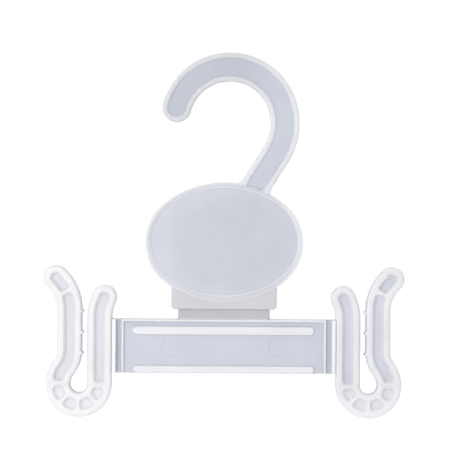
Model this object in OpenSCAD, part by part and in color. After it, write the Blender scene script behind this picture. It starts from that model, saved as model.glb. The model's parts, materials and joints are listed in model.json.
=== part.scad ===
// Small display hanger moulded in natural polypropylene, in millimetres.
// A hook carries an oval label disc and a flat crossbar with a U-shaped spring clip at each end.
// The origin is the centre of the hook's inner arc, on the mid-plane: +X right, +Y back, +Z up.

/* [Hook] */
// Inner radius of the hook, which drops over a 25 mm rail with room to spare
hook_inner_r = 14.3; // [13.5:0.1:15]
// Width of the hook's arm, seen from the front
hook_w = 10.1; // [9.4:0.1:11]
// Front-to-back depth of the hook
hook_depth = 4.6; // [4:0.2:5.6]
// Width of the raised rim along each edge of the hook
hook_rim = 1.6; // [1.2:0.1:2]
// Angle above the right-hand horizontal at which the arc ends in its round tip
hook_tip_angle = 165.3; // [150:0.1:172]
// How much wider the arc becomes on its way down to the stem, along the middle of the arm
hook_spread = 1.6; // [0.6:0.1:2.2]
// Angle above the right-hand horizontal at which the arc becomes wider
hook_spread_angle = 17.7; // [10:0.1:30]
// Angle below the right-hand horizontal at which the arc turns into the stem
stem_angle = 32.5; // [31:0.1:34]

/* [Label disc] */
// Width of the oval disc
disc_w = 55.4; // [54:0.1:58]
// Height of the oval disc
disc_h = 42.4; // [41.6:0.1:43.6]
// Radius of the oval's two narrow ends
disc_end_r = 17.7; // [16.8:0.1:18.2]
// Drop from the hook's centre to the disc's centre
disc_drop = 42.6; // [42:0.1:43.4]
// Front-to-back depth of the disc
disc_depth = 4.8; // [4.4:0.2:5.6]
// Width of the disc's raised rim, at the top and the sides
disc_rim = 1.5; // [1:0.1:2]
// Width of the disc's raised rim at the bottom
disc_low_rim = 2.3; // [1.5:0.1:3]
// Distance that the body's middle lies to the left of the hook's centre
body_shift = 1.75; // [0:0.05:4]

/* [Collar and neck] */
// Width of the collar below the disc
collar_w = 37.1; // [35:0.1:39]
// Front-to-back depth of the collar
collar_depth = 4; // [2.6:0.2:4.4]
// Width of the thin neck between the collar and the crossbar
neck_w = 32.2; // [28:0.2:34]
// Height of the neck
neck_h = 3.4; // [2.6:0.1:4.6]
// Front-to-back depth of the neck
neck_depth = 1.8; // [1.4:0.2:2.4]
// Front-to-back depth of the neck's foot, where it spreads out on the crossbar
neck_foot_depth = 3; // [2.4:0.1:3.6]
// Height of the neck's foot
neck_foot_h = 1.2; // [0.6:0.1:1.8]

/* [Crossbar] */
// Drop from the hook's centre to the crossbar's top edge
bar_drop = 69.5; // [69:0.1:69.8]
// Height of the crossbar
bar_h = 19.1; // [18:0.1:20]
// Width of the panel across its two end walls
panel_w = 72.1; // [70:0.1:75]
// Thickness of the end walls and of the flange along the top edge
bar_wall = 0.8; // [0.7:0.1:1.4]
// Width of the pad that joins the crossbar to each clip
pad_w = 1.35; // [0.8:0.05:1.6]
// Front-to-back depth of the pads
pad_depth = 6; // [3.6:0.2:6.4]
// Front-to-back depth of the end walls and of the top flange
bar_depth = 3.6; // [3.4:0.2:4.8]
// Thickness of the panel
panel_t = 1.8; // [1.4:0.1:2.4]
// Length of the two stiffening ribs
rib_w = 63.7; // [60:0.1:66]
// Height of the upper rib
top_rib_h = 3; // [2:0.1:3.4]
// Height of the lower rib, which is flush with the bottom edge
low_rib_h = 2.4; // [2:0.1:3]
// Front-to-back depth across the ribs
rib_depth = 3.2; // [2.8:0.1:3.4]

/* [Spring clips] */
// Distance from the body's middle to the centre of each spring bend
clip_x = 51; // [50.6:0.1:53]
// Drop from the hook's centre to the centre of each spring bend
clip_drop = 92.6; // [91.8:0.1:92.8]
// Radius of the spring bend, along the middle of its beam
bend_r = 7.3; // [7:0.05:8]
// Width of the clip's beam, seen from the front
beam_w = 8.7; // [8.2:0.1:9.2]
// Width of the raised rim along each edge of the beam
beam_rim = 2.5; // [2:0.1:3]
// Front-to-back depth of the clips
clip_depth = 6.4; // [5.6:0.2:7]
// Thickness of the web between the two legs' rims
clip_web = 3.8; // [1.6:0.1:4.4]
// Thickness of the web between the spring bend's rims
bend_web = 4.4; // [2:0.1:4.8]
// Height of the fixed leg's straight part
fixed_straight = 23.4; // [23.2:0.1:24.4]
// Radius of the fixed leg's curved top
fixed_turn_r = 16.4; // [15:0.1:20]
// Angle through which the fixed leg's top leans towards the crossbar
fixed_turn = 26; // [16:1:27]
// Radius of the two curves that bring the jaw in towards the fixed leg
jaw_bow_r = 9.6; // [9:0.1:10.2]
// Angle of each of those two curves
jaw_bow = 37.8; // [34:0.1:38]
// Height of the jaw's straight gripping part
jaw_straight = 14.6; // [14:0.1:16]
// Radius of the jaw's flared top
flare_r = 14.8; // [14:0.1:18]
// Angle through which the jaw's top flares outwards
flare = 48; // [42:0.5:50]
// How far the gripping teeth stand out from the jaw
tooth_h = 0.8; // [0.4:0.1:1]

/* [Hidden] */
$fn = 96;

// Natural polypropylene, in the slightly different tones that its thickness gives it
clear_plastic = [0.80, 0.83, 0.87];
pale_plastic = [0.92, 0.93, 0.95];
thin_plastic = [0.76, 0.75, 0.77];

// Sides of the body's middle
LEFT = -1;
RIGHT = 1;
// Headings of a path
UP = 90;
DOWN = -90;

// Angle between the points of a curved outline
arc_step = 4;
// Amount by which a part that is fused on bites into what carries it
bite = 0.4;
// Amount by which a cutter runs past the face that it cuts
past = 1;

hook_r = hook_inner_r + hook_w / 2;
// The arc's wider lower part, which runs on smoothly from the rest
hook_low_r = hook_r + hook_spread;
hook_low_centre = on_circle(-hook_spread, hook_spread_angle);
hook_web = 3.6;
stem_length = 18;
// Spare stock inside the hook's arc, which the rail's cylinder then cuts away
bore_stock = 0.5;

disc_face = 3.8;

collar_corner_r = 1.4;

bar_top = -bar_drop;
bar_low = bar_top - bar_h;
// The fixed legs' inner edges are where the crossbar ends
bar_half = clip_x - bend_r - beam_w / 2;
top_rib_drop = 4.1;
ejector_mark_r = 3;
ejector_mark_x = 19;
ejector_mark_drop = 10.1;
ejector_mark_depth = 0.15;

pocket_w = beam_w - 2 * beam_rim;
gusset_t = 1.3;
gusset_turn = gusset_t / bend_r * 180 / PI;
bend_gussets = [gusset_turn / 2, 45, 90, 135, 180 - gusset_turn / 2];
jaw_gusset_turn = 24;
jaw_gusset_span = gusset_t / flare_r * 180 / PI;
tooth_base = 1.5;
tooth_heights = [10.9, 18.3, 25.7];

// A path is a list of steps: [0, length] goes straight, [radius, angle] turns, to the left if positive
fixed_path = [[0, fixed_straight], [fixed_turn_r, fixed_turn]];
jaw_low_path = [[jaw_bow_r, jaw_bow], [jaw_bow_r, -jaw_bow], [0, jaw_straight]];
jaw_path = concat(jaw_low_path, [[flare_r, -flare]]);
jaw_low_pocket = concat(jaw_low_path, [[flare_r, jaw_gusset_span / 2 - jaw_gusset_turn]]);
jaw_tip_pocket = [[flare_r, jaw_gusset_turn + jaw_gusset_span / 2 - flare]];
jaw_grip_x = bend_r - 2 * jaw_bow_r * (1 - cos(jaw_bow)) - beam_w / 2;

// Place and heading, [x, z, angle], that a step reaches from another place and heading
function after_step(pose, step, share = 1) =
    let (turn = step[0] == 0 ? 0 : step[1] * share,
         ahead = step[0] == 0 ? step[1] * share : 0,
         reach = step[0] * sign(step[1]))
    [pose[0] + ahead * cos(pose[2]) + reach * (sin(pose[2] + turn) - sin(pose[2])),
     pose[1] + ahead * sin(pose[2]) + reach * (cos(pose[2]) - cos(pose[2] + turn)),
     pose[2] + turn];

// Place and heading at the end of a path
function after_path(pose, path, first = 0) =
    first == len(path) ? pose : after_path(after_step(pose, path[first]), path, first + 1);

// Places and headings along a path, one at each end of a straight and several round a turn
function stations(pose, path, first = 0) =
    first == len(path) ? [pose] :
    let (step = path[first],
         count = step[0] == 0 ? 1 : ceil(abs(step[1]) / arc_step))
    concat([for (i = [0:count - 1]) after_step(pose, step, i / count)],
           stations(after_step(pose, step), path, first + 1));

// Point at a distance to the left of a place and heading
function beside(pose, distance) =
    [pose[0] - distance * sin(pose[2]), pose[1] + distance * cos(pose[2])];

// Points of a half circle round the front of a place and heading, from its right to its left
function nose(pose, radius) =
    [for (angle = [arc_step - 90:arc_step:90 - arc_step])
        [pose[0] + radius * cos(pose[2] + angle), pose[1] + radius * sin(pose[2] + angle)]];

// Point on a circle round the origin
function on_circle(radius, angle) = [radius * cos(angle), radius * sin(angle)];

// Points round an arc, from one angle to another
function arc(centre, radius, from, to) =
    let (count = ceil(abs(to - from) / arc_step))
    [for (i = [0:count]) centre + on_circle(radius, from + (to - from) * i / count)];

// Ribbon that follows a path, square at its start and either square or round at its end
module ribbon(pose, path, width, round_end = true) {
    line = stations(pose, path);
    last = len(line) - 1;
    polygon(concat(
        [for (i = [0:last]) beside(line[i], -width / 2)],
        round_end ? nose(line[last], width / 2) : [],
        [for (i = [last:-1:0]) beside(line[i], width / 2)]));
}

// Stands a front-view outline up on the mid-plane and gives it its depth
module plate(depth) {
    rotate([90, 0, 0])
        linear_extrude(depth, center = true)
            children();
}

// Cuts a front-view outline into both faces of a plate, down to its web
module pockets(depth, web) {
    pocket_depth = (depth - web) / 2 + past;
    for (face = [-1, 1])
        translate([0, face * (web + pocket_depth) / 2, 0])
            plate(pocket_depth)
                children();
}

// Oval of four arcs: two narrow ends, and a long arc along each side
module oval(width, height, end_r) {
    end_x = width / 2 - end_r;
    side_r = (pow(end_x, 2) + pow(height / 2, 2) - pow(end_r, 2)) / (height - 2 * end_r);
    side_z = side_r - height / 2;
    // Angle at which the long arcs meet the ends
    seam = atan2(side_z, end_x);
    polygon(concat(
        arc([end_x, 0], end_r, -seam, seam),
        arc([0, -side_z], side_r, seam + arc_step / 2, 180 - seam - arc_step / 2),
        arc([-end_x, 0], end_r, 180 - seam, 180 + seam),
        arc([0, side_z], side_r, 180 + seam + arc_step / 2, 360 - seam - arc_step / 2)));
}

// Places its children on the disc's centre
module at_disc() {
    translate([-body_shift, 0, -disc_drop])
        children();
}

// Space that the disc fills, which the hook and the collar end against
module disc_space() {
    at_disc()
        plate(clip_depth + past)
            oval(disc_w, disc_h, disc_end_r);
}

// Straight bar with round ends, seen from the front
module stadium(length, height) {
    square([length - height, height], center = true);
    for (side = [LEFT, RIGHT])
        translate([side * (length - height) / 2, 0])
            circle(height / 2);
}

// Point of the hook's stem, from its distance to the lower arc's centre and how far down the stem it is
function stem_point(side, drop) =
    hook_low_centre + on_circle(side, -stem_angle) + on_circle(drop, -stem_angle - 90);

// Outline of the hook, with spare stock inside its arc for the rail's cylinder to cut
module hook_outline() {
    half = hook_w / 2;
    tip = [hook_r * cos(hook_tip_angle), hook_r * sin(hook_tip_angle), hook_tip_angle + 90];
    // The lower arc's inner edge starts where it has parted from the rail's cylinder
    parting = hook_spread_angle - 2 * arc_step;
    polygon(concat(
        [stem_point(hook_low_r - half, stem_length)],
        [stem_point(hook_low_r + half, stem_length)],
        arc(hook_low_centre, hook_low_r + half, -stem_angle, hook_spread_angle),
        arc([0, 0], hook_r + half, hook_spread_angle + arc_step, hook_tip_angle),
        nose(tip, half),
        arc([0, 0], hook_inner_r - bore_stock, hook_tip_angle - arc_step, hook_spread_angle),
        arc(hook_low_centre, hook_low_r - half, parting, -stem_angle)));
}

// Recessed face of the hook, inside its rims
module hook_face() {
    start = stem_point(hook_low_r, stem_length + past);
    ribbon([start[0], start[1], UP - stem_angle],
           [[0, stem_length + past],
            [hook_low_r, stem_angle + hook_spread_angle],
            [hook_r, hook_tip_angle - hook_spread_angle]],
           hook_w - 2 * hook_rim);
}

module hook() {
    color(clear_plastic)
        difference() {
            plate(hook_depth)
                hook_outline();
            rotate([90, 0, 0])
                cylinder(h = hook_depth + 2 * past, r = hook_inner_r, center = true);
            pockets(hook_depth, hook_web)
                hook_face();
            disc_space();
        }
}

module label_disc() {
    color(clear_plastic)
        at_disc()
            difference() {
                plate(disc_depth)
                    oval(disc_w, disc_h, disc_end_r);
                pockets(disc_depth, disc_face)
                    translate([0, (disc_low_rim - disc_rim) / 2])
                        oval(disc_w - 2 * disc_rim, disc_h - disc_rim - disc_low_rim,
                             disc_end_r - disc_rim);
            }
}

module collar() {
    collar_low = bar_top + neck_h;
    collar_h = -disc_drop - collar_low;
    color(clear_plastic)
        difference() {
            translate([-body_shift, 0, collar_low])
                plate(collar_depth) {
                    translate([-collar_w / 2, collar_corner_r])
                        square([collar_w, collar_h - collar_corner_r]);
                    translate([collar_corner_r - collar_w / 2, 0])
                        square([collar_w - 2 * collar_corner_r, collar_h]);
                    for (side = [LEFT, RIGHT])
                        translate([side * (collar_w / 2 - collar_corner_r), collar_corner_r])
                            circle(collar_corner_r);
                }
            disc_space();
        }
}

module neck() {
    half = neck_depth / 2;
    foot_half = neck_foot_depth / 2;
    color(thin_plastic)
        translate([-body_shift, 0, bar_top])
            rotate([90, 0, 90])
                linear_extrude(neck_w, center = true)
                    polygon([[-foot_half, 0], [foot_half, 0], [half, neck_foot_h],
                             [half, neck_h], [-half, neck_h], [-half, neck_foot_h]]);
}

// Panel of the crossbar, which runs on past its end walls as a thin web to the pads
module bar_panel() {
    translate([0, 0, bar_top - bar_h / 2])
        cube([2 * bar_half, panel_t, bar_h], center = true);
}

module bar_walls() {
    wall_x = (panel_w - bar_wall) / 2;
    translate([0, 0, bar_top - bar_wall / 2])
        cube([panel_w, bar_depth, bar_wall], center = true);
    for (side = [LEFT, RIGHT])
        translate([side * wall_x, 0, bar_top - bar_h / 2])
            cube([bar_wall, bar_depth, bar_h], center = true);
}

// Upright pads at the crossbar's two ends, against the clips' fixed legs
module bar_pads() {
    for (side = [LEFT, RIGHT])
        translate([side * (bar_half - pad_w / 2), 0, bar_top - bar_h / 2])
            cube([pad_w, pad_depth, bar_h], center = true);
}

module bar_ribs() {
    translate([0, 0, bar_top - top_rib_drop])
        plate(rib_depth)
            stadium(rib_w, top_rib_h);
    translate([0, 0, bar_low + low_rib_h / 2])
        plate(rib_depth)
            stadium(rib_w, low_rib_h);
}

// Shallow round marks that the mould's ejector pins leave on the panel's front
module ejector_marks() {
    for (side = [LEFT, RIGHT])
        translate([side * ejector_mark_x, -panel_t / 2, bar_top - ejector_mark_drop])
            rotate([90, 0, 0])
                cylinder(h = 2 * ejector_mark_depth, r = ejector_mark_r, center = true);
}

module crossbar() {
    color(clear_plastic)
        translate([-body_shift, 0, 0])
            difference() {
                union() {
                    bar_panel();
                    bar_walls();
                    bar_pads();
                    bar_ribs();
                }
                ejector_marks();
            }
}

// Puts a clip that is drawn from its bend's centre on one side of the body
module at_clip(side) {
    translate([-body_shift, 0, -clip_drop])
        mirror([side == LEFT ? 1 : 0, 0, 0])
            translate([clip_x, 0, 0])
                children();
}

module fixed_leg(side) {
    color(pale_plastic)
        at_clip(side)
            difference() {
                plate(clip_depth)
                    ribbon([-bend_r, 0, UP], fixed_path, beam_w);
                pockets(clip_depth, clip_web)
                    ribbon([-bend_r, -past, UP], concat([[0, past]], fixed_path), pocket_w);
            }
}

module spring_bend(side) {
    start = [-bend_r, 0, DOWN];
    color(pale_plastic)
        at_clip(side)
            difference() {
                plate(clip_depth)
                    ribbon(start, [[bend_r, 180]], beam_w, false);
                pockets(clip_depth, bend_web)
                    for (i = [0:len(bend_gussets) - 2])
                        ribbon(after_step(start, [bend_r, bend_gussets[i] + gusset_turn / 2]),
                               [[bend_r, bend_gussets[i + 1] - bend_gussets[i] - gusset_turn]],
                               pocket_w, false);
            }
}

// Pointed ridge across the jaw's gripping edge
module tooth() {
    plate(clip_depth)
        polygon([[bite, -tooth_base / 2], [bite, tooth_base / 2], [-tooth_h, 0]]);
}

module jaw(side) {
    start = [bend_r, 0, UP];
    color(pale_plastic)
        at_clip(side) {
            difference() {
                plate(clip_depth)
                    ribbon(start, jaw_path, beam_w);
                pockets(clip_depth, clip_web) {
                    ribbon([bend_r, -past, UP], concat([[0, past]], jaw_low_pocket), pocket_w, false);
                    ribbon(after_path(start, concat(jaw_low_pocket, [[flare_r, -jaw_gusset_span]])),
                           jaw_tip_pocket, pocket_w);
                }
            }
            for (height = tooth_heights)
                translate([jaw_grip_x, 0, height])
                    tooth();
        }
}

hook();
label_disc();
collar();
neck();
crossbar();
fixed_leg(LEFT);  // left_fixed_leg
spring_bend(LEFT);  // left_spring_bend
jaw(LEFT);  // left_jaw
fixed_leg(RIGHT);  // right_fixed_leg
spring_bend(RIGHT);  // right_spring_bend
jaw(RIGHT);  // right_jaw
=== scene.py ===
"""Small frosted-plastic display hanger with two spring clips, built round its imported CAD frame.

Each moulded member is one closed mesh: a front-view outline with rounded, drafted edges, in whose two
faces pockets are sunk and ribs are raised, with fillets at their feet. Shapes are worked out in
millimetres in the frame's own axes, X right, Y back and Z up, and become metres when they are made.
"""
import json
import math

import bmesh
import bpy
import numpy as np
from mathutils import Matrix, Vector
from mathutils.geometry import delaunay_2d_cdt


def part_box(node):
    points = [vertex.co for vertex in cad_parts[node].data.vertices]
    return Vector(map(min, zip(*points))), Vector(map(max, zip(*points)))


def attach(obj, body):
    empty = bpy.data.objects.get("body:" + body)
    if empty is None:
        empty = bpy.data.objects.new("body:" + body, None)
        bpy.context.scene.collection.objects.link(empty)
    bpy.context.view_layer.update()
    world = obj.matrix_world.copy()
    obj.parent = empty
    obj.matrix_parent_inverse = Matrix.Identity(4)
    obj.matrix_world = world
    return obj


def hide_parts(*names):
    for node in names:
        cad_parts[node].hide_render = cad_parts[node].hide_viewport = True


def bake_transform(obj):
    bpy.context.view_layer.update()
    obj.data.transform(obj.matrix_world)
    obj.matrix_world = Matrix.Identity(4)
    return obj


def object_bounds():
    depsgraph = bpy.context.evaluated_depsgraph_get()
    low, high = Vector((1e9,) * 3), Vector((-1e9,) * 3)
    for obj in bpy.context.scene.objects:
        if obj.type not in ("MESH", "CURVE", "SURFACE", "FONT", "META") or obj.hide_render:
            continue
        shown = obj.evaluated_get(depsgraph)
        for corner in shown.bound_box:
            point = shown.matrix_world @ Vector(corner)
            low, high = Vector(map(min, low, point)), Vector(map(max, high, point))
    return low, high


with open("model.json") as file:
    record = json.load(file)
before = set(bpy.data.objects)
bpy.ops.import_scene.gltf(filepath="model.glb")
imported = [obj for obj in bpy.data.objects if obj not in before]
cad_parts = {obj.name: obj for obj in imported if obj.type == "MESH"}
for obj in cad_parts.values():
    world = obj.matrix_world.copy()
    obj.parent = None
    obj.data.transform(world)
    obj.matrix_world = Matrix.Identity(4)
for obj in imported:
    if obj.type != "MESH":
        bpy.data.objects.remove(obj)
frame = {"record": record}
cad_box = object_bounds()

MM = 0.001
BODY = "hanger_body"
JAWS = {"left": "left_jaw", "right": "right_jaw"}
FRONT, BACK = -1, 1
UP, DOWN = 90.0, -90.0
LEFT_SIDE, RIGHT_SIDE = 1, -1

# Curved outlines and rounded edges are drawn with steps of these sizes
ARC_STEP = 3.0
STRAIGHT_STEP = 2.0
CORNER_STEPS = 5
ROUND_END_STEPS = 14
EDGE_STEPS = 4
SHARP_ANGLE = math.radians(38)


# ---------------------------------------------------------------- sizes, from the frame

def box_mm(node):
    low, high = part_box(node)
    return np.array(low) / MM, np.array(high) / MM


def middle(node):
    low, high = box_mm(node)
    return (low + high) / 2


def size(node):
    low, high = box_mm(node)
    return high - low


HOOK_INNER_R = next(m["dims"]["r_mm"] for m in frame["record"]["mounts"] if m["name"] == "rail_hook")
HOOK_OUTER_R = box_mm("hook")[1][2]
HOOK_R = (HOOK_INNER_R + HOOK_OUTER_R) / 2
HOOK_W = HOOK_OUTER_R - HOOK_INNER_R
HOOK_HALF = size("hook")[1] / 2
HOOK_RIM = 1.6
# A web or face is given by its distance from the mid-plane, here and below
HOOK_WEB = 1.8
HOOK_TIP_ANGLE = 165.3
STEM_ANGLE = 32.5
# Below this angle the hook's arc is wider, round a centre of its own
SPREAD_ANGLE = 17.7
HOOK_SPREAD = 1.6
HOOK_LOW_R = HOOK_R + HOOK_SPREAD
HOOK_LOW_X = -HOOK_SPREAD * math.cos(math.radians(SPREAD_ANGLE))
HOOK_LOW_Z = -HOOK_SPREAD * math.sin(math.radians(SPREAD_ANGLE))

DISC_X, _, DISC_Z = middle("label_disc")
DISC_A, DISC_HALF, DISC_B = size("label_disc") / 2
DISC_END_R = 17.7
DISC_RIM = 1.5
DISC_LOW_RIM = 2.3
DISC_FACE = 1.9

COLLAR_CORNER = 1.4
NECK_HALF = 0.9
NECK_FOOT_HALF = size("neck")[1] / 2

BAR_LOW, BAR_HIGH = box_mm("crossbar")
BAR_HALF_W, PAD_HALF, _ = size("crossbar") / 2
BAR_MID_X = middle("crossbar")[0]
WALL_HALF = 1.8
PANEL_HALF = 0.9
PANEL_W = 72.1
WALL_T = 0.8
PAD_W = 1.35
# The walls and pads stay this far inside the panel's own rounded edges
BAR_MARGIN = 0.16
BAR_CORNER = 0.2
RIB_W = 63.7
RIB_HALF = 1.6
TOP_RIB_H, TOP_RIB_DROP = 2.9, 4.1
LOW_RIB_H, LOW_RIB_RISE = 2.35, 1.35
# Faint round marks that the mould's ejector pins leave on the front
EJECTOR_R, EJECTOR_X, EJECTOR_DROP = 3.0, 19.0, 10.1

BEND_LOW, BEND_HIGH = box_mm("right_spring_bend")
BEND_X = (BEND_LOW[0] + BEND_HIGH[0]) / 2
BEND_Z = BEND_HIGH[2]
BEND_OUTER_R = (BEND_HIGH[0] - BEND_LOW[0]) / 2
LEG_HALF = size("right_jaw")[1] / 2
LEG_W = 8.7
LEG_RIM = 2.5
LEG_WEB = 1.9
BEND_WEB = 2.2
BEND_R = BEND_OUTER_R - LEG_W / 2


# ---------------------------------------------------------------- outlines

# A pose is [x, z, heading in degrees]. A path is a list of steps: (0, length) goes straight and
# (radius, angle) turns, to the left where the angle is positive.
# An outline is a closed list of rays [x, z, nx, nz, r, most]: grown by g, its points are at
# (x, z) + n * (r + g), where a ray grows by its own most at the furthest.

FREE = 9.0
HELD_GROWTH = 0.02
# A ray faces a direction where the cosine between them is above this
FACING = 0.3
# Points closer together than this along a path would make slivers
LEAST_STEP = 0.05


def step_length(step):
    radius, amount = step
    return amount if radius == 0 else radius * math.radians(abs(amount))


def advance(pose, step, share=1.0):
    """Pose that a share of a step leads to."""
    x, z, heading = pose
    radius, amount = step
    a = math.radians(heading)
    if radius == 0:
        return (x + amount * share * math.cos(a), z + amount * share * math.sin(a), heading)
    b = a + math.radians(amount * share)
    reach = math.copysign(radius, amount)
    return (x + reach * (math.sin(b) - math.sin(a)),
            z + reach * (math.cos(a) - math.cos(b)),
            heading + amount * share)


def pose_at(start, path, along):
    """Pose at a distance along a path."""
    pose = start
    for step in path[:-1]:
        length = step_length(step)
        if along <= length:
            return advance(pose, step, along / length)
        along -= length
        pose = advance(pose, step)
    return advance(pose, path[-1], along / step_length(path[-1]))


def marks(path, extra=()):
    """Distances along a path at which its sides get points."""
    found, done = [0.0], 0.0
    for step in path:
        length = step_length(step)
        spans = abs(step[1]) / ARC_STEP if step[0] else length / STRAIGHT_STEP
        count = max(1, math.ceil(spans))
        found += [done + length * (i + 1) / count for i in range(count)]
        done += length
    clear = [m for m in found if all(abs(m - e) > LEAST_STEP for e in extra)]
    return sorted(clear + [e for e in extra if e < done])


def ray(x, z, angle, reach, most=FREE):
    a = math.radians(angle)
    return [x, z, math.cos(a), math.sin(a), reach, most]


def held(outline, *directions):
    """The same outline, with hardly any room to grow towards each of some directions."""
    kept = outline.copy()
    for nx, nz in directions:
        kept[outline[:, 2] * nx + outline[:, 3] * nz > FACING, 5] = HELD_GROWTH
    return kept


def fan(x, z, first, last, reach, steps):
    """Rays of a rounded corner or end, without the two that its neighbours already have."""
    return [ray(x, z, first + (last - first) * i / steps, reach) for i in range(1, steps)]


def end_rays(pose, half, style, corner):
    """Rays that close a ribbon beyond a pose, from its right side round to its left."""
    x, z, heading = pose
    if style == "round":
        return fan(x, z, heading - 90, heading + 90, half, round(180 / (2 * ARC_STEP)))
    if style == "cut":
        return []
    rays = []
    for side, first in ((RIGHT_SIDE, heading - 90), (LEFT_SIDE, heading)):
        cx, cz = beside(pose, side * (half - corner))
        rays += [ray(cx, cz, first + 90 * i / CORNER_STEPS, corner) for i in range(CORNER_STEPS + 1)]
    return rays


def beside(pose, distance):
    """Point at a distance to the left of a pose."""
    a = math.radians(pose[2])
    return pose[0] - distance * math.sin(a), pose[1] + distance * math.cos(a)


def ribbon(start, path, half, start_style, end_style, corner=0.0, left_marks=()):
    """Outline of a strip along a path, with square ends inside the path's own ends."""
    total = sum(step_length(s) for s in path)
    first = corner if start_style == "square" else 0.0
    last = total - (corner if end_style == "square" else 0.0)

    def side_rays(side, extra):
        kept = [m for m in marks(path, extra) if first + LEAST_STEP < m < last - LEAST_STEP]
        poses = [pose_at(start, path, m) for m in [first, *kept, last]]
        return [ray(p[0], p[1], p[2] + side * 90, half) for p in poses]

    right, left = side_rays(RIGHT_SIDE, ()), side_rays(LEFT_SIDE, left_marks)
    if start_style == "square":
        right, left = right[1:], left[1:]
    if end_style == "square":
        right, left = right[:-1], left[:-1]
    begin, stop = pose_at(start, path, first), pose_at(start, path, last)
    back = (begin[0], begin[1], begin[2] + 180)
    return np.array(right + end_rays(stop, half, end_style, corner)
                    + left[::-1] + end_rays(back, half, start_style, corner))


def arc_rays(x, z, reach, first, last, ends=True):
    steps = max(2, math.ceil(abs(last - first) / ARC_STEP))
    inner = fan(x, z, first, last, reach, steps)
    return [ray(x, z, first, reach), *inner, ray(x, z, last, reach)] if ends else inner


def oval_sides(a, b, end_r):
    """Radius of an oval's two long arcs, and how far beyond its middle their centres lie."""
    side_r = ((a - end_r) ** 2 + b ** 2 - end_r ** 2) / (2 * (b - end_r))
    return side_r, side_r - b


def oval(z, a, b, end_r):
    """Outline of an oval of four arcs, from its half width, its half height and its narrow ends' radius."""
    end_x = a - end_r
    side_r, drop = oval_sides(a, b, end_r)
    seam = math.degrees(math.atan2(drop, end_x))
    return np.array(
        arc_rays(DISC_X + end_x, z, end_r, -seam, seam)
        + arc_rays(DISC_X, z - drop, side_r, seam, 180 - seam, ends=False)
        + arc_rays(DISC_X - end_x, z, end_r, 180 - seam, 180 + seam)
        + arc_rays(DISC_X, z + drop, side_r, 180 + seam, 360 - seam, ends=False))


DISC_SIDE_R, DISC_SIDE_DROP = oval_sides(DISC_A, DISC_B, DISC_END_R)


def oval_distance(x, z):
    """How far a point near the disc's long arcs lies outside its outline."""
    drop = math.copysign(DISC_SIDE_DROP, z - DISC_Z)
    return math.hypot(x - DISC_X, z - DISC_Z + drop) - DISC_SIDE_R


def rounded_box(left, low, right, high, radius):
    """Outline of an upright rectangle with rounded corners."""
    corners = [(left, low), (right, low), (right, high), (left, high)]
    return rounded_polygon([(x, z, radius) for x, z in corners])


def rounded_polygon(corners):
    """Outline of a polygon, anticlockwise, from corners (x, z, rounding); hollow corners are filleted."""
    rays, count = [], len(corners)
    for i, (x, z, radius) in enumerate(corners):
        here = Vector((x, z))
        before = (here - Vector(corners[i - 1][:2])).normalized()
        after = (Vector(corners[(i + 1) % count][:2]) - here).normalized()
        turn = math.degrees(math.atan2(before.x * after.y - before.y * after.x, before.dot(after)))
        tangent = radius * math.tan(math.radians(abs(turn)) / 2)
        outward = math.degrees(math.atan2(-before.x, before.y))
        to_centre = radius if turn > 0 else -radius
        centre = here - before * tangent + Vector((-before.y, before.x)) * to_centre
        rays += [ray(centre.x, centre.y, outward + turn * k / CORNER_STEPS, to_centre)
                 for k in range(CORNER_STEPS + 1)]
    return np.array(rays)


def stadium(x, z, length, height, point=0.0):
    """Outline of a bar with round ends, the left one drawn out to a point by a distance."""
    reach, half = (length - height) / 2, height / 2

    def round_end(cx, first):
        curve = fan(cx, z, first, first + 180, half, ROUND_END_STEPS)
        return [ray(cx, z, first, half), *curve, ray(cx, z, first + 180, half)]

    right, left = round_end(x + reach, -90), round_end(x - reach, 90)
    for r in left:
        r[0] -= point * max(0.0, -r[2]) ** 3
    return np.array(right + left)


def mirrored(outline):
    """The same outline on the other side of the body's middle."""
    flipped = outline[::-1].copy()
    flipped[:, 0] = 2 * DISC_X - flipped[:, 0]
    flipped[:, 2] *= -1
    return flipped


# ---------------------------------------------------------------- rounded sections

def quarter():
    """Angles of the steps round a quarter turn."""
    return [math.pi / 2 * k / EDGE_STEPS for k in range(EDGE_STEPS + 1)]


# Distances from the mid-plane of the parting line's foot and crest
PARTING_FOOT, PARTING_CREST = 0.09, 0.03


def edge_profile(half, radius, draft=0.08, flash=0.03):
    """(grow, y) round a plate's edge from its front to its back, with draft and a faint parting line."""
    front = [(-draft - radius * (1 - math.sin(a)), radius * (1 - math.cos(a)) - half) for a in quarter()]
    front += [(-flash, -PARTING_FOOT), (0.0, -PARTING_CREST)]
    return front + [(g, -y) for g, y in reversed(front)]


def pocket_profile(half, web, top, foot, lean, rise=None):
    """(grow, height) from a face down a leaning wall to a pocket's floor, counted from the mid-plane."""
    rise = foot if rise is None else min(foot, rise)
    rim = [(top * (1 - math.sin(a)), half - top * (1 - math.cos(a))) for a in quarter()]
    floor = [(-lean - foot * (1 - math.cos(a)), web + rise * (1 - math.sin(a))) for a in quarter()]
    return rim + floor


def boss_profile(base, height, top, foot, rise=None):
    """(grow, height) from a face up to the top of a rib, over a foot that may rise less than it spreads."""
    rise = foot if rise is None else rise
    root = [(foot * (1 - math.sin(a)), base + rise * (1 - math.cos(a))) for a in quarter()]
    crown = [(-top * (1 - math.cos(a)), height - top * (1 - math.sin(a))) for a in quarter()]
    return root + crown


# ---------------------------------------------------------------- meshes

def loop_points(outline, grow):
    return outline[:, :2] + outline[:, 2:4] * (outline[:, 4:5] + np.minimum(grow, outline[:, 5:6]))


def add_ring(bm, points, y):
    return [bm.verts.new((x, y, z)) for x, z in points]


def bridge(bm, rings):
    """Joins each ring to the next with four-sided faces."""
    for near, far in zip(rings, rings[1:]):
        for i in range(len(near)):
            bm.faces.new((near[i - 1], near[i], far[i], far[i - 1]))


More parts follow.
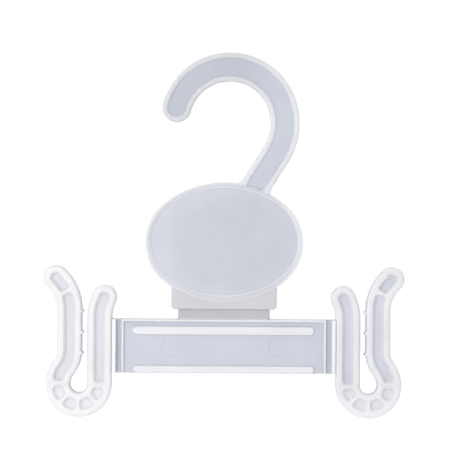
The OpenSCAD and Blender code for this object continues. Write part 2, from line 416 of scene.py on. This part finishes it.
def inside(points, ring):
    """Which points lie inside a closed ring of (x, z)."""
    x, z = points[:, 0:1], points[:, 1:2]
    ax, az = ring[:, 0], ring[:, 1]
    bx, bz = np.roll(ax, 1), np.roll(az, 1)
    across = (az > z) != (bz > z)
    run = np.where(bz == az, 1.0, bz - az)
    left = x < (bx - ax) * (z - az) / run + ax
    return (across & left).sum(axis=1) % 2 == 1


def fill(bm, ring, holes):
    """Triangulates the flat region between a ring and the rings of its holes."""
    rings = [ring, *holes]
    verts = [v for r in rings for v in r]
    flat = [Vector((v.co.x, v.co.z)) for v in verts]
    edges, first = [], 0
    for r in rings:
        edges += [(first + i - 1 if i else first + len(r) - 1, first + i) for i in range(len(r))]
        first += len(r)
    _, _, faces, sources, _, _ = delaunay_2d_cdt(flat, edges, [], 0, 1e-7)
    corners = np.array([[flat[sources[i][0]] for i in f] for f in faces])
    centres = corners.mean(axis=1)
    outlines = [np.array([(v.co.x, v.co.z) for v in r]) for r in rings]
    kept = inside(centres, outlines[0])
    for hole in outlines[1:]:
        kept &= ~inside(centres, hole)
    for f, keep in zip(faces, kept):
        if keep:
            bm.faces.new([verts[sources[i][0]] for i in f])


def fill_face(bm, ring, insets, side):
    """Fills a plate's face, with its pockets and ribs. An inset is (outline, profile, its own insets)."""
    holes = []
    for outline, profile, inner in insets:
        rings = [add_ring(bm, loop_points(outline, grow), side * height) for grow, height in profile]
        bridge(bm, rings)
        fill_face(bm, rings[-1], inner, side)
        holes.append(rings[0])
    fill(bm, ring, holes)


def make_plate(name, outline, edge, front, back):
    """One closed moulded member, as an object in metres."""
    bm = bmesh.new()
    rings = [add_ring(bm, loop_points(outline, grow), y) for grow, y in edge]
    bridge(bm, rings)
    fill_face(bm, rings[0], front, FRONT)
    fill_face(bm, rings[-1], back, BACK)
    bmesh.ops.remove_doubles(bm, verts=bm.verts, dist=1e-4)
    bmesh.ops.dissolve_degenerate(bm, edges=bm.edges, dist=1e-5)
    bmesh.ops.recalc_face_normals(bm, faces=bm.faces)
    for e in bm.edges:
        e.smooth = len(e.link_faces) == 2 and e.calc_face_angle(0.0) < SHARP_ANGLE
    for f in bm.faces:
        f.smooth = True
    bmesh.ops.scale(bm, vec=(MM, MM, MM), verts=bm.verts)
    mesh = bpy.data.meshes.new(name)
    bm.to_mesh(mesh)
    bm.free()
    piece = bpy.data.objects.new(name, mesh)
    bpy.context.collection.objects.link(piece)
    weighted = piece.modifiers.new("flat_faces", "WEIGHTED_NORMAL")
    weighted.keep_sharp = True
    return piece


# ---------------------------------------------------------------- materials

# A painted light is (middle, half axes, (start, end), strength): a colour factor that paints in light, rising
# from 1 to 1 + strength between start and end times the size of an ellipse, seen from the front.

def painted_light_factor(nodes, links, place, painted_light):
    (x, z), (a, b), (start, end), strength = painted_light
    shift = nodes.new("ShaderNodeVectorMath")
    shift.operation = "SUBTRACT"
    shift.inputs[1].default_value = (x * MM, 0, z * MM)
    links.new(place.outputs["Object"], shift.inputs[0])
    squeeze = nodes.new("ShaderNodeVectorMath")
    squeeze.operation = "MULTIPLY"
    squeeze.inputs[1].default_value = (1 / (a * MM), 0, 1 / (b * MM))
    links.new(shift.outputs[0], squeeze.inputs[0])
    reach = nodes.new("ShaderNodeVectorMath")
    reach.operation = "LENGTH"
    links.new(squeeze.outputs[0], reach.inputs[0])
    factor = nodes.new("ShaderNodeMapRange")
    factor.interpolation_type = "SMOOTHSTEP"
    factor.inputs["From Min"].default_value = start
    factor.inputs["From Max"].default_value = end
    factor.inputs["To Min"].default_value = 1.0
    factor.inputs["To Max"].default_value = 1.0 + strength
    links.new(reach.outputs["Value"], factor.inputs["Value"])
    return factor.outputs["Result"]


def depth_tones(nodes, links, place, tones):
    """Colour that changes with the distance from the mid-plane, from a list of (distance, colour)."""
    split = nodes.new("ShaderNodeSeparateXYZ")
    links.new(place.outputs["Object"], split.inputs[0])
    depth = nodes.new("ShaderNodeMath")
    depth.operation = "ABSOLUTE"
    links.new(split.outputs["Y"], depth.inputs[0])
    share = nodes.new("ShaderNodeMath")
    share.operation = "DIVIDE"
    share.inputs[1].default_value = LEG_HALF * MM
    links.new(depth.outputs[0], share.inputs[0])
    ramp = nodes.new("ShaderNodeValToRGB")
    ramp.color_ramp.interpolation = "LINEAR"
    stops = ramp.color_ramp.elements
    stops.remove(stops[-1])
    stops[0].position = tones[0][0] / LEG_HALF
    stops[0].color = (*tones[0][1], 1)
    for distance, colour in tones[1:]:
        stops.new(distance / LEG_HALF).color = (*colour, 1)
    links.new(share.outputs[0], ramp.inputs["Fac"])
    return ramp.outputs["Color"]


def flow_clouds(nodes, links, place):
    """Factor that wanders a little from place to place, as the flow of the melt leaves the plastic."""
    clouds = nodes.new("ShaderNodeTexNoise")
    clouds.inputs["Scale"].default_value = 70.0
    clouds.inputs["Detail"].default_value = 3.0
    clouds.inputs["Roughness"].default_value = 0.55
    links.new(place.outputs["Object"], clouds.inputs["Vector"])
    cloud_range = nodes.new("ShaderNodeMapRange")
    cloud_range.inputs["From Min"].default_value = 0.3
    cloud_range.inputs["From Max"].default_value = 0.7
    cloud_range.inputs["To Min"].default_value = 0.97
    cloud_range.inputs["To Max"].default_value = 1.03
    links.new(clouds.outputs["Fac"], cloud_range.inputs["Value"])
    return cloud_range.outputs["Result"]


def product_of(nodes, links, first, second):
    product = nodes.new("ShaderNodeMath")
    product.operation = "MULTIPLY"
    links.new(first, product.inputs[0])
    links.new(second, product.inputs[1])
    return product.outputs[0]


def frosting(nodes, links, place):
    """Normal of a finely etched surface."""
    grain = nodes.new("ShaderNodeTexNoise")
    grain.inputs["Scale"].default_value = 2600.0
    grain.inputs["Detail"].default_value = 2.0
    links.new(place.outputs["Object"], grain.inputs["Vector"])
    bump = nodes.new("ShaderNodeBump")
    bump.inputs["Strength"].default_value = 0.25
    bump.inputs["Distance"].default_value = 0.00004
    links.new(grain.outputs["Fac"], bump.inputs["Height"])
    return bump.outputs["Normal"]


def plastic(name, tones, *painted_lights):
    """Frosted polypropylene with faint flow clouds. Its thin webs are greyer and its thick rims whiter,
    partly from the plastic's own thickness and partly as painted shade in the recesses; painted lights, where
    given, lighten it further.
    """
    material = bpy.data.materials.new(name)
    material.use_nodes = True
    nodes, links = material.node_tree.nodes, material.node_tree.links
    shader = nodes["Principled BSDF"]
    shader.inputs["Roughness"].default_value = 0.42
    shader.inputs["IOR"].default_value = 1.49
    shader.inputs["Transmission Weight"].default_value = 0.2
    shader.inputs["Specular IOR Level"].default_value = 0.5
    shader.inputs["Subsurface Weight"].default_value = 0.25
    shader.inputs["Subsurface Radius"].default_value = (1.0, 1.0, 1.0)
    shader.inputs["Subsurface Scale"].default_value = 0.0012

    place = nodes.new("ShaderNodeTexCoord")
    factor = flow_clouds(nodes, links, place)
    for painted_light in painted_lights:
        factor = product_of(nodes, links, factor, painted_light_factor(nodes, links, place, painted_light))
    tone_clouds_and_light = nodes.new("ShaderNodeMix")
    tone_clouds_and_light.data_type = "RGBA"
    tone_clouds_and_light.blend_type = "MULTIPLY"
    tone_clouds_and_light.inputs["Factor"].default_value = 1.0
    links.new(depth_tones(nodes, links, place, tones), tone_clouds_and_light.inputs["A"])
    links.new(factor, tone_clouds_and_light.inputs["B"])
    links.new(tone_clouds_and_light.outputs["Result"], shader.inputs["Base Color"])
    links.new(frosting(nodes, links, place), shader.inputs["Normal"])
    return material


def grey(r, g, b):
    """Linear colour of a display colour with values up to 255."""
    return tuple(((c / 255 + 0.055) / 1.055) ** 2.4 for c in (r, g, b))


def hook_plastic():
    # The web is greyer than the rim partly from thin plastic and partly as painted shade in the recess;
    # painted light lightens the hook away from a point up and to its left.
    tones = [(HOOK_WEB, grey(173, 177, 187)), (HOOK_WEB + 0.3, grey(195, 196, 200))]
    return plastic("hook_plastic", tones, ((-12.0, 12.0), (30.0, 30.0), (0.6, 1.05), 0.12))


def disc_plastic():
    """The disc's recess wall has a painted highlight, and painted light lightens the disc towards its edge,
    most on the left, and brightens its rim at its right-hand end.
    """
    lip_highlight = grey(205, 206, 211)
    tones = [(DISC_FACE, grey(182, 184, 193)), (DISC_FACE + 0.2, lip_highlight),
             (DISC_FACE + 0.35, lip_highlight), (DISC_HALF, grey(184, 185, 190))]
    oval_axes = (DISC_A, DISC_B)
    return plastic("disc_plastic", tones, ((DISC_X + 2.5, DISC_Z), oval_axes, (0.6, 1.05), 0.09),
                   ((DISC_X - 2.0, DISC_Z), oval_axes, (1.0, 1.05), 0.20))


def collar_plastic():
    return plastic("collar_plastic", [(0.0, grey(189, 188, 195))])


def neck_plastic():
    # The thin neck is greyer than its foot, partly from thin plastic and partly as painted shade between the
    # collar and the crossbar.
    return plastic("neck_plastic", [(NECK_HALF, grey(178, 176, 181)), (NECK_FOOT_HALF, grey(216, 212, 217))])


def bar_plastic():
    # The sunk panel is greyer and what stands on it whiter, partly from the plastic's thickness and partly as
    # painted shade on the panel.
    rib = grey(211, 211, 215)
    return plastic("bar_plastic", [(PANEL_HALF, grey(185, 189, 199)), (RIB_HALF - 0.2, rib),
                                   (WALL_HALF + 0.1, rib), (PAD_HALF - 0.1, grey(223, 223, 226))])


def clip_plastics(side, face, pocket, rim, strength):
    """A clip's legs and its bend, lightened further down by painted light."""
    painted_light = ((BAR_MID_X, BEND_Z + 20.0), (1000.0, 20.0), (0.9, 1.5), strength)
    legs = [(LEG_WEB, face), (LEG_WEB + 0.5, rim)]
    bend = [(LEG_WEB, face), (BEND_WEB, pocket), (BEND_WEB + 0.3, rim)]
    return {f"{side}_clip": plastic(f"{side}_clip_plastic", legs, painted_light),
            f"{side}_bend": plastic(f"{side}_bend_plastic", bend, painted_light)}


MATERIALS = {
    "hook": hook_plastic(),
    "disc": disc_plastic(),
    "collar": collar_plastic(),
    "neck": neck_plastic(),
    "bar": bar_plastic(),
    # Lit and shaded copies of one plastic: the left clip's tones are painted lighter than the right clip's,
    # as if lit from the left.
    **clip_plastics("left", grey(203, 203, 211), grey(210, 210, 215), grey(215, 213, 216), 0.02),
    **clip_plastics("right", grey(195, 198, 208), grey(205, 207, 214), grey(212, 211, 215), 0.07),
}


def finish(piece, material, slot, body, *nodes):
    piece.data.materials.append(MATERIALS[material])
    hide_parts(*nodes)
    if body:
        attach(piece, body)


# ---------------------------------------------------------------- the hanger's body

def stem_point(side, drop):
    """Point at a distance from the lower arc's centre to the stem's side and a distance down the stem."""
    a = math.radians(STEM_ANGLE)
    return (HOOK_LOW_X + side * math.cos(a) - drop * math.sin(a),
            HOOK_LOW_Z - drop * math.cos(a) - side * math.sin(a))


def stem_drop(side, depth):
    """How far down the stem a line at that side gets to a depth inside the disc's outline."""
    drop, rounds = 0.0, 40
    for _ in range(rounds):
        drop += oval_distance(*stem_point(side, drop)) + depth
    return drop


def hook_outline(half, depth, flare):
    """The hook at a half width, its stem ending at a depth inside the disc and widening by a flare."""
    near, far = HOOK_LOW_R - half, HOOK_LOW_R + half
    points, flare_length = 12, 4
    sides = {}
    for side, outward in ((near, 180 - STEM_ANGLE), (far, -STEM_ANGLE)):
        end = stem_drop(side, depth)
        sides[side] = [ray(*stem_point(side, d), outward, flare * max(0.0, 1 - (end - d) / flare_length) ** 2)
                       for d in np.linspace(0, end, points)[1:]]
    arcs = [(HOOK_LOW_R, STEM_ANGLE + SPREAD_ANGLE), (HOOK_R, HOOK_TIP_ANGLE - SPREAD_ANGLE)]
    arc = ribbon((*stem_point(HOOK_LOW_R, 0), UP - STEM_ANGLE), arcs, half, "cut", "round")
    return np.array([*reversed(sides[far]), *arc, *sides[near]])


# Wall of the shallow recesses in the hook and the disc
SHALLOW = {"top": 0.2, "foot": 0.28, "lean": 0.25}


def make_hook():
    outline = hook_outline(HOOK_W / 2, depth=0.35, flare=0.5)
    face = hook_outline(HOOK_W / 2 - HOOK_RIM, depth=0.15, flare=-0.5)
    inset = (face, pocket_profile(HOOK_HALF, HOOK_WEB, **SHALLOW), [])
    piece = make_plate("hook_moulding", outline, edge_profile(HOOK_HALF, 0.5), [inset], [inset])
    finish(piece, "hook", "clear_plastic", BODY, "hook")


def make_disc():
    lift = (DISC_LOW_RIM - DISC_RIM) / 2
    recess = oval(DISC_Z + lift, DISC_A - DISC_RIM, DISC_B - DISC_RIM - lift, DISC_END_R - DISC_RIM)
    inset = (recess, pocket_profile(DISC_HALF, DISC_FACE, **SHALLOW), [])
    outline = oval(DISC_Z, DISC_A, DISC_B, DISC_END_R)
    piece = make_plate("label_disc_moulding", outline, edge_profile(DISC_HALF, 0.6), [inset], [inset])
    finish(piece, "disc", "clear_plastic", BODY, "label_disc")


def make_collar():
    """The collar's top follows the disc's edge, a little inside it, and hardly moves as it grows."""
    low, high = box_mm("collar")
    depth, points, hardly = 0.3, 40, 0.05
    above = high[2] + 20
    top = []
    for x in np.linspace(high[0], low[0], points):
        z = DISC_Z + DISC_SIDE_DROP - math.sqrt((DISC_SIDE_R - depth) ** 2 - (x - DISC_X) ** 2)
        top.append([x, z, hardly, hardly, 0.0, FREE])
    bottom = rounded_polygon([(low[0], above, 0.1), (low[0], low[2], COLLAR_CORNER),
                              (high[0], low[2], COLLAR_CORNER), (high[0], above, 0.1)])
    kept = [r for r in bottom if r[1] < low[2] + COLLAR_CORNER + 0.5]
    right, left = [[x, end[1] + 0.01, side, 0, 0.0, FREE]
                   for x, end, side in ((high[0], top[0], 1), (low[0], top[-1], -1))]
    outline = np.array([*kept, right, *top[1:-1], left])
    piece = make_plate("collar_moulding", outline, edge_profile(high[1], 0.35), [], [])
    finish(piece, "collar", "clear_plastic", BODY, "collar")


def make_neck():
    """The neck runs a little into the collar and the crossbar, and spreads out on a foot."""
    low, high = box_mm("neck")
    overlap, inset, foot, crest = 0.5, 0.4, 1.1, 0.01
    outline = rounded_box(low[0], low[2] - overlap, high[0], high[2] + overlap, 0.3)
    spread = rounded_box(low[0] + inset, low[2] - 0.1, high[0] - inset, low[2] + 0.15, 0.02)
    spread = held(spread, (1, 0), (-1, 0), (0, -1))
    rise = NECK_FOOT_HALF - NECK_HALF - crest
    foot_inset = (spread, boss_profile(NECK_HALF, NECK_FOOT_HALF, crest, foot, rise), [])
    piece = make_plate("neck_moulding", outline, edge_profile(NECK_HALF, 0.15), [foot_inset], [foot_inset])
    finish(piece, "neck", "thin_plastic", BODY, "neck")


def bar_frame():
    """Outline of the flange along the bar's top edge and its two end walls."""
    left, right = BAR_MID_X - PANEL_W / 2, BAR_MID_X + PANEL_W / 2
    low, high = BAR_LOW[2] + BAR_MARGIN, BAR_HIGH[2] - BAR_MARGIN
    inner_left, inner_right, inner_high = left + WALL_T, right - WALL_T, high - WALL_T
    line = rounded_polygon([
        (left, low, BAR_CORNER), (inner_left, low, BAR_CORNER), (inner_left, inner_high, 0.5),
        (inner_right, inner_high, 0.5), (inner_right, low, BAR_CORNER), (right, low, BAR_CORNER),
        (right, high, BAR_CORNER), (left, high, BAR_CORNER)])
    top_side = (line[:, 1] > high - WALL_T / 2) & (line[:, 3] > FACING)
    low_side = (line[:, 1] < low + WALL_T) & (line[:, 3] < -FACING)
    line[top_side | low_side, 5] = HELD_GROWTH
    return line


def bar_pad(side):
    """Outline of the upright pad against one clip's leg, which it just runs into."""
    inner, outer = BAR_HALF_W - PAD_W, BAR_HALF_W + 0.05
    left, right = sorted(BAR_MID_X + side * x for x in (inner, outer))
    pad = rounded_box(left, BAR_LOW[2] + BAR_MARGIN, right, BAR_HIGH[2] - BAR_MARGIN, BAR_CORNER)
    return held(pad, (side, 0), (0, 1), (0, -1))


def make_crossbar():
    """A panel that runs a little into both clips, with what is raised on both faces."""
    reach = 0.3
    outline = rounded_box(BAR_LOW[0] - reach, BAR_LOW[2], BAR_HIGH[0] + reach, BAR_HIGH[2], BAR_CORNER)
    rib = boss_profile(PANEL_HALF, RIB_HALF, 0.35, 0.3)
    low_line = held(stadium(BAR_MID_X, BAR_LOW[2] + LOW_RIB_RISE, RIB_W, LOW_RIB_H), (0, -1))
    raised = [
        (bar_frame(), boss_profile(PANEL_HALF, WALL_HALF, 0.2, 0.4), []),
        *[(bar_pad(side), boss_profile(PANEL_HALF, PAD_HALF, 0.2, 0.25), []) for side in (-1, 1)],
        (stadium(BAR_MID_X, BAR_HIGH[2] - TOP_RIB_DROP, RIB_W, TOP_RIB_H, 0.5), rib, []),
        (low_line, rib, [])]
    mark_profile = pocket_profile(PANEL_HALF, PANEL_HALF - 0.12, 0.05, 0.1, 0.02)
    marks_z = BAR_HIGH[2] - EJECTOR_DROP
    ejector_marks = [(stadium(BAR_MID_X + x, marks_z, 2 * EJECTOR_R, 2 * EJECTOR_R - 0.01), mark_profile, [])
                     for x in (-EJECTOR_X, EJECTOR_X)]
    edge = edge_profile(PANEL_HALF, 0.1, 0.02, 0.01)
    piece = make_plate("crossbar_moulding", outline, edge, [*raised, *ejector_marks], raised)
    finish(piece, "bar", "clear_plastic", BODY, "crossbar")


# ---------------------------------------------------------------- the clips

FIXED_PATH = [(0, 23.4), (16.4, 26.0)]
BOW_R, BOW = 9.6, 37.8
JAW_STRAIGHT = 14.6
FLARE_R, FLARE = 14.8, 48.0
JAW_LOW = [(BOW_R, BOW), (BOW_R, -BOW), (0, JAW_STRAIGHT)]
# A gusset crosses the jaw's pocket part of the way round its flare
GUSSET = 1.3
JAW_GUSSET_TURN = 24.0
POCKET_HALF = LEG_W / 2 - LEG_RIM
POCKET_CORNER = 1.2
POCKET_TOP, POCKET_FOOT, POCKET_LEAN = 0.5, 0.9, 0.2
# Distances and turns that keep the pockets clear of the joins between the legs and the bend
END_GAP, JAW_END_GAP = 0.6, 1.2
END_TURN, JAW_END_TURN = 3.5, 0.5
TOOTH_H, TOOTH_HALF, TOOTH_STEP = 0.8, 0.75, 0.125
TOOTH_HEIGHTS = (10.9, 18.3, 25.7)


def clip_pocket(outline, web):
    """A pocket whose wall keeps a little straight length between its rounded top and its foot."""
    least_wall = 0.02
    foot_rise = LEG_HALF - web - POCKET_TOP - least_wall
    return (outline, pocket_profile(LEG_HALF, web, POCKET_TOP, POCKET_FOOT, POCKET_LEAN, foot_rise), [])


def fixed_leg_shape():
    start = (BEND_X - BEND_R, BEND_Z, UP)
    outline = ribbon(start, FIXED_PATH, LEG_W / 2, "cut", "round")
    pocket_start = (start[0], start[1] + END_GAP, UP)
    pocket_path = [(0, FIXED_PATH[0][1] - END_GAP), FIXED_PATH[1]]
    pocket = ribbon(pocket_start, pocket_path, POCKET_HALF, "square", "round", POCKET_CORNER)
    return outline, [pocket]


def tooth_marks():
    """Distances along the jaw's path at which its teeth need points."""
    bows = 2 * step_length((BOW_R, BOW))
    rise = 2 * BOW_R * math.sin(math.radians(BOW))
    tops = [bows + height - rise for height in TOOTH_HEIGHTS]
    return [top + TOOTH_STEP * i for top in tops for i in range(-8, 9)]


def add_teeth(outline):
    """Pushes the edge that faces the fixed leg out into three pointed teeth."""
    points = loop_points(outline, 0)
    grip_x, squarely = BEND_X + BEND_R, 0.8
    for i, (x, z) in enumerate(points):
        faces_leg = outline[i, 2] < -squarely and x < grip_x
        bumps = [TOOTH_H * (1 - abs(z - BEND_Z - t) / TOOTH_HALF) for t in TOOTH_HEIGHTS]
        if faces_leg and max(bumps) > 0:
            outline[i, 4] += max(bumps)
    return outline


def jaw_shape():
    """The jaw's outline with its teeth, and its pockets below and above the gusset."""
    start = (BEND_X + BEND_R, BEND_Z, UP)
    path = [*JAW_LOW, (FLARE_R, -FLARE)]
    outline = add_teeth(ribbon(start, path, LEG_W / 2, "cut", "round", left_marks=tooth_marks()))
    span = math.degrees(GUSSET / FLARE_R)
    low_path = [*JAW_LOW, (FLARE_R, span / 2 - JAW_GUSSET_TURN)]
    total = sum(step_length(s) for s in low_path)
    gap_turn = math.degrees(JAW_END_GAP / BOW_R)
    low_start = advance(start, (BOW_R, gap_turn))
    low = ribbon(low_start, [(BOW_R, BOW - gap_turn), *low_path[1:]], POCKET_HALF, "square", "square",
                 POCKET_CORNER)
    tip_start = pose_at(start, path, total + GUSSET)
    tip_path = [(FLARE_R, JAW_GUSSET_TURN + span / 2 - FLARE)]
    tip = ribbon(tip_start, tip_path, POCKET_HALF, "square", "round", POCKET_CORNER)
    return outline, [low, tip]


def bend_pocket(first, last):
    """Outline of a pocket in the bend, between the middles of two gussets of even thickness."""
    gap = GUSSET / 2 + POCKET_CORNER
    corners = []
    for reach, sign in ((BEND_R + POCKET_HALF, -1), (BEND_R - POCKET_HALF, 1)):
        centre = reach + sign * POCKET_CORNER
        corners.append((reach, centre, math.degrees(math.asin(gap / centre))))
    (outer, outer_c, outer_turn), (inner, inner_c, inner_turn) = corners

    def corner(centre, at, start, stop):
        a = math.radians(at)
        x, z = BEND_X + centre * math.cos(a), BEND_Z + centre * math.sin(a)
        return [ray(x, z, start + k * (stop - start) / CORNER_STEPS, POCKET_CORNER)
                for k in range(CORNER_STEPS + 1)]

    rays = corner(inner_c, first + inner_turn, first + 180 + inner_turn, first + 270)
    rays += corner(outer_c, first + outer_turn, first - 90, first + outer_turn)
    rays += arc_rays(BEND_X, BEND_Z, outer, first + outer_turn, last - outer_turn, ends=False)
    rays += corner(outer_c, last - outer_turn, last - outer_turn, last + 90)
    rays += corner(inner_c, last - inner_turn, last + 90, last + 180 - inner_turn)
    hollow = arc_rays(BEND_X, BEND_Z, -inner, last + 180 - inner_turn, first + 180 + inner_turn, ends=False)
    return np.array(rays + hollow)


def bend_shape():
    start = (BEND_X - BEND_R, BEND_Z, DOWN)
    outline = ribbon(start, [(BEND_R, 180.0)], LEG_W / 2, "cut", "cut")
    gussets = [180 + END_TURN, 225.0, 270.0, 315.0, 360 - JAW_END_TURN]
    return outline, [bend_pocket(a, b) for a, b in zip(gussets, gussets[1:])]


def make_clip_piece(side, name, shape, body, node):
    """One member of a clip. Shapes are drawn for the right-hand clip and mirrored for the left."""
    outline, pockets = shape
    if side == "left":
        outline, pockets = mirrored(outline), [mirrored(p) for p in pockets]
    web = BEND_WEB if name == "spring_bend" else LEG_WEB
    insets = [clip_pocket(p, web) for p in pockets]
    piece = make_plate(f"{side}_{name}_moulding", outline, edge_profile(LEG_HALF, 0.9), insets, insets)
    finish(piece, f"{side}_bend" if name == "spring_bend" else f"{side}_clip", "pale_plastic", body, node)
    return piece


def make_clip(side):
    """A clip's leg and jaw, and the bend that joins them at its two ends."""
    make_clip_piece(side, "fixed_leg", fixed_leg_shape(), BODY, f"{side}_fixed_leg")
    make_clip_piece(side, "jaw", jaw_shape(), JAWS[side], f"{side}_jaw")
    bend = make_clip_piece(side, "spring_bend", bend_shape(), None, f"{side}_spring_bend")
    inner = BEND_R - LEG_W / 2
    ends = [BEND_X - inner, BEND_X + inner]
    if side == "left":
        ends = [2 * DISC_X - x for x in ends]
    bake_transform(bend)


# ---------------------------------------------------------------- stage

def make_floor():
    radius, drop = 1.6, 0.06
    bpy.ops.mesh.primitive_circle_add(vertices=96, radius=radius, fill_type="NGON",
                                      location=(0, 0, cad_box[0][2] - drop))
    floor = bpy.context.object
    floor.name = "studio_floor"
    material = bpy.data.materials.new("studio_white")
    material.use_nodes = True
    shader = material.node_tree.nodes["Principled BSDF"]
    shader.inputs["Base Color"].default_value = (0.97, 0.97, 0.97, 1)
    shader.inputs["Roughness"].default_value = 0.9
    floor.data.materials.append(material)


def make_light(name, place, aim, width, power):
    lamp = bpy.data.lights.new(name, "AREA")
    lamp.shape = "DISK"
    lamp.size = width
    lamp.energy = power
    light = bpy.data.objects.new(name, lamp)
    light.location = place
    light.rotation_euler = (Vector(aim) - Vector(place)).to_track_quat("-Z", "Y").to_euler()
    bpy.context.collection.objects.link(light)


def make_overhead():
    """Very soft light from straight above, which keeps the floor as white as the rest of the studio."""
    lamp = bpy.data.lights.new("overhead", "SUN")
    lamp.energy = 0.4
    lamp.angle = math.radians(60)
    light = bpy.data.objects.new("overhead", lamp)
    bpy.context.collection.objects.link(light)


def make_world():
    world = bpy.data.worlds.new("studio")
    world.use_nodes = True
    world.node_tree.nodes["Background"].inputs["Color"].default_value = (1, 1, 1, 1)
    world.node_tree.nodes["Background"].inputs["Strength"].default_value = 1.0
    bpy.context.scene.world = world


def make_camera():
    """Level view from straight in front, far enough away to see the clips' inner walls only slightly.
    The field is the width of the view at the hanger.
    """
    distance = 0.85
    field = 0.1587
    camera = bpy.data.cameras.new("camera")
    camera.sensor_width = 36.0
    camera.lens = camera.sensor_width * distance / field
    eye = bpy.data.objects.new("camera", camera)
    eye.location = (-0.00157, -distance, -0.03635)
    roll = math.radians(-0.35)
    eye.rotation_euler = (math.pi / 2, roll, 0)
    bpy.context.collection.objects.link(eye)
    bpy.context.scene.camera = eye


make_hook()
make_disc()
make_collar()
make_neck()
make_crossbar()
make_clip("left")
make_clip("right")
make_floor()
make_world()
make_overhead()
make_light("key", place=(-0.4, -0.8, 0.12), aim=(0, 0, -0.05), width=0.45, power=2.6)
make_light("left", place=(-0.20, -0.42, -0.05), aim=(-0.05, 0, -0.07), width=0.25, power=0.3)
make_camera()
bpy.context.scene.view_settings.view_transform = "Standard"
